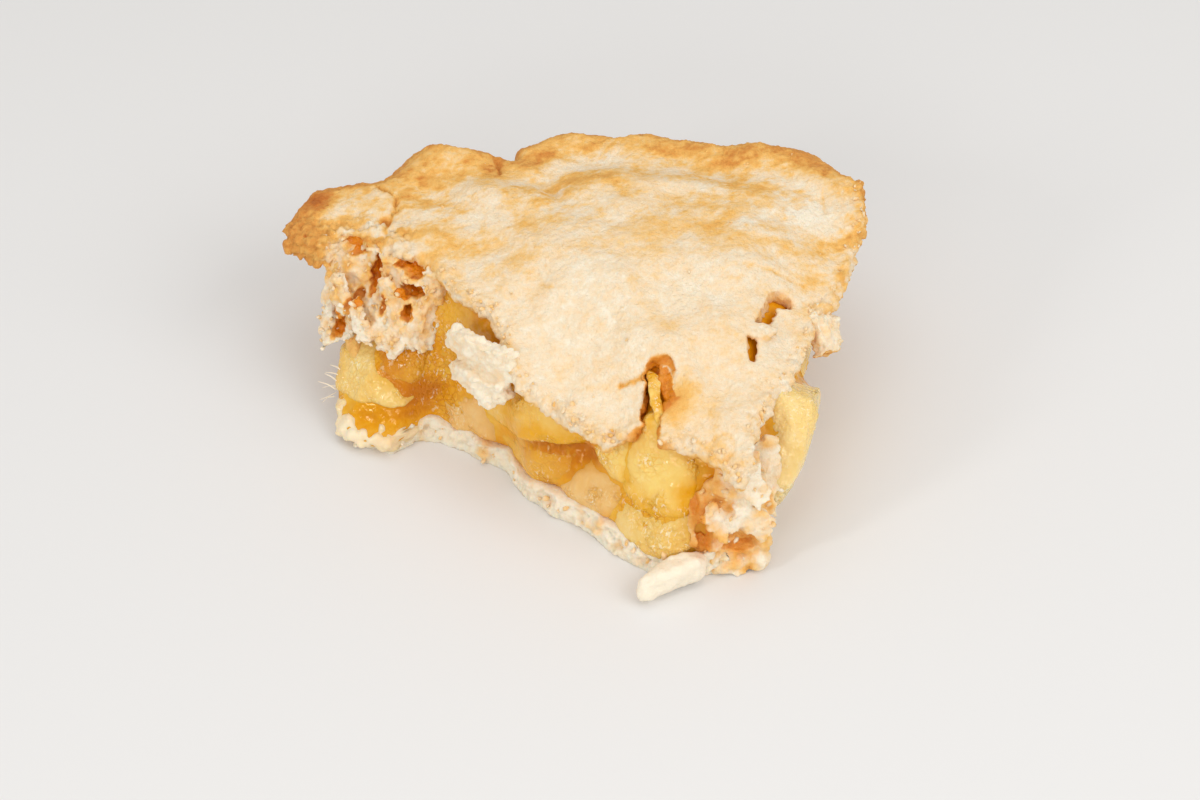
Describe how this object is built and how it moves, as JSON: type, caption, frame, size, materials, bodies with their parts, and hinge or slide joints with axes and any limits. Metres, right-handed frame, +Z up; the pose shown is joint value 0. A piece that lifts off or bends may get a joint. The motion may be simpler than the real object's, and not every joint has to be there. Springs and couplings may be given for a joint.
{
  "type": "slice of apple pie",
  "caption": "Hand-cut wedge of fruit pie with a pale domed pastry lid, a rolled rim, a torn steam vent and soft fruit showing in its cuts.",
  "frame": {"origin": "middle of the base: the centre of the bounding box in plan, at the height of the surface the slice rests on", "axes": "+Z up; +Y from the slice's tip towards its rim; +X to the right as seen from the tip"},
  "size_m": [0.1492, 0.1296, 0.0507],
  "materials": {
    "lid_crust": "dry baked pastry, pale cream with a light golden bloom, browner along the rim",
    "base_crust": "baked pastry, pale and flaky at the cut, golden on the outside",
    "dough": "soft torn pastry, crumbly and pale",
    "apple": "cooked fruit, translucent pale yellow to amber, wet",
    "syrup": "thick amber juice round soft fruit, glossy"
  },
  "bodies": {
    "root": {"top_crust": "lid_crust", "bottom_crust": "base_crust", "tip_crust": "dough", "crumbled_crust": "dough", "crust_flake": "dough", "crust_side": "dough", "tip_strip": "dough", "apple_tip": "apple", "apple_tip_small": "apple", "apple_long": "apple", "apple_low": "apple", "apple_pale": "apple", "apple_front": "apple", "apple_wet": "apple", "apple_high": "apple", "apple_amber": "apple", "apple_corner": "apple", "apple_foot": "apple", "apple_side": "apple", "apple_short": "apple", "apple_short_top": "apple", "filling": "syrup"}
  },
  "joints": []
}
